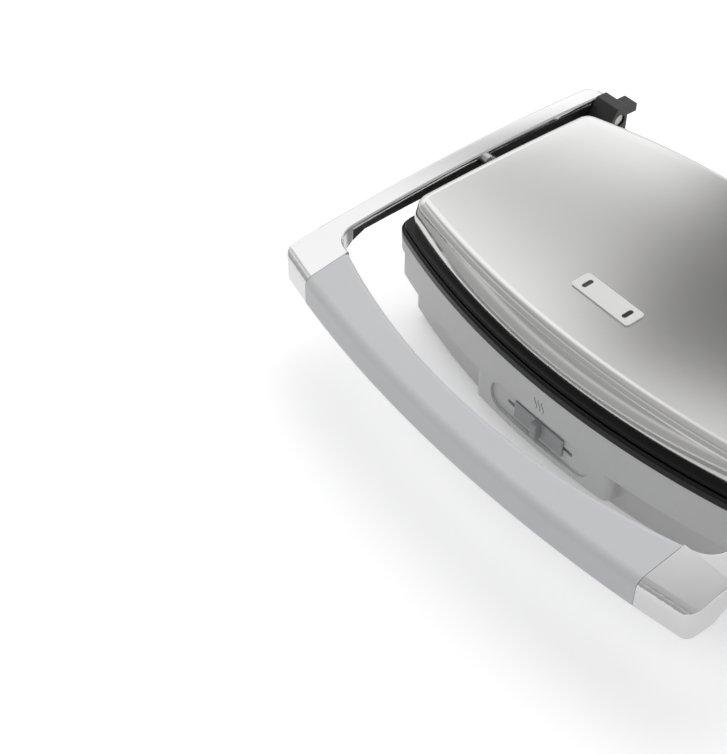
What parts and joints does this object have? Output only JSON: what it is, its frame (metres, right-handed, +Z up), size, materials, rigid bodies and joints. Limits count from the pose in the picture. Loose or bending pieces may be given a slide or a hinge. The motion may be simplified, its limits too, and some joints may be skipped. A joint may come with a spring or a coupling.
{
  "type": "sandwich maker",
  "caption": "Countertop contact press with ribbed plates, a domed steel lid floating on a hinged loop handle, a bowed grip and a front slide control.",
  "frame": {"origin": "on the table below the feet, at the middle of the whole object in plan", "axes": "+X to the right along the grip, +Y from the grip to the hinge, +Z up"},
  "size_m": [0.3726, 0.3007, 0.1067],
  "materials": {
    "lid_steel": "satin stainless steel with a fine grain",
    "arm_metal": "cast metal with a bright satin finish",
    "housing_grey": "moulded light grey plastic",
    "grip_grey": "soft satin cool grey plastic",
    "rim_black": "glossy black heat resistant plastic",
    "bracket_black": "satin black plastic",
    "dark_plastic": "dark grey plastic",
    "plate_coating": "cast aluminium with a dark ceramic coating",
    "heater_sheath": "heat dulled steel sheath",
    "reflector_sheet": "plain sheet metal",
    "ceramic_white": "white moulded insulator",
    "bezel_white": "pale moulded plastic",
    "lens_dark": "dark tinted lens",
    "lamp_glass": "small neon lamp",
    "board_green": "lacquered circuit board",
    "foot_rubber": "soft black rubber",
    "fastener_steel": "zinc plated steel",
    "pin_steel": "turned steel",
    "bush_brass": "turned brass"
  },
  "bodies": {
    "base": {"base_housing": "housing_grey", "base_rim": "rim_black", "base_rim_screws": "fastener_steel", "bottom_cover": "dark_plastic", "bottom_cover_screws": "fastener_steel", "control_fascia": "housing_grey", "cord_gland": "dark_plastic", "hinge_bracket_left": "bracket_black", "hinge_bracket_right": "bracket_black", "hinge_bracket_screws": "fastener_steel", "hinge_pin_left": "pin_steel", "hinge_pin_right": "pin_steel", "lower_cooking_plate": "plate_coating", "lower_heat_reflector": "reflector_sheet", "lower_heating_element": "heater_sheath", "rubber_feet": "foot_rubber", "slide_switch": "dark_plastic", "terminal_block": "ceramic_white", "thermal_fuse": "ceramic_white", "thermostat": "ceramic_white"},
    "handle": {"arm_core_left": "bracket_black", "arm_core_right": "bracket_black", "arm_cover_left": "arm_metal", "arm_cover_right": "arm_metal", "grip_lower": "grip_grey", "grip_screws": "fastener_steel", "grip_upper": "grip_grey", "handle_spine": "pin_steel", "hinge_bushes": "bush_brass", "lid_pivot_pin_left": "pin_steel", "lid_pivot_pin_right": "pin_steel", "spine_screws": "fastener_steel"},
    "lid": {"indicator_bezel": "bezel_white", "indicator_lamps": "lamp_glass", "indicator_lenses": "lens_dark", "lamp_board": "board_green", "lid_carrier_left": "reflector_sheet", "lid_carrier_right": "reflector_sheet", "lid_cover": "lid_steel", "lid_frame": "rim_black", "upper_cooking_plate": "plate_coating", "upper_heat_reflector": "reflector_sheet", "upper_heating_element": "heater_sheath", "upper_plate_screws": "fastener_steel"},
    "slider": {"slider_knob": "housing_grey"}
  },
  "joints": [
    {"name": "handle_hinge", "type": "hinge", "parent": "base", "child": "handle", "pos_m": [0, 0.134, 0.0892], "axis": [-1, 0, 0], "range_deg": [0, 105]},
    {"name": "lid_float", "type": "hinge", "parent": "handle", "child": "lid", "pos_m": [0, 0.027, 0.089], "axis": [-1, 0, 0], "range_deg": [-15, 0]},
    {"name": "control_slide", "type": "slide", "parent": "base", "child": "slider", "axis": [1, 0, 0], "range_m": [-0.008, 0.008]}
  ],
  "couplings": [
    {"joint": "lid_float", "follows": "handle_hinge", "ratio": -0.14286}
  ]
}
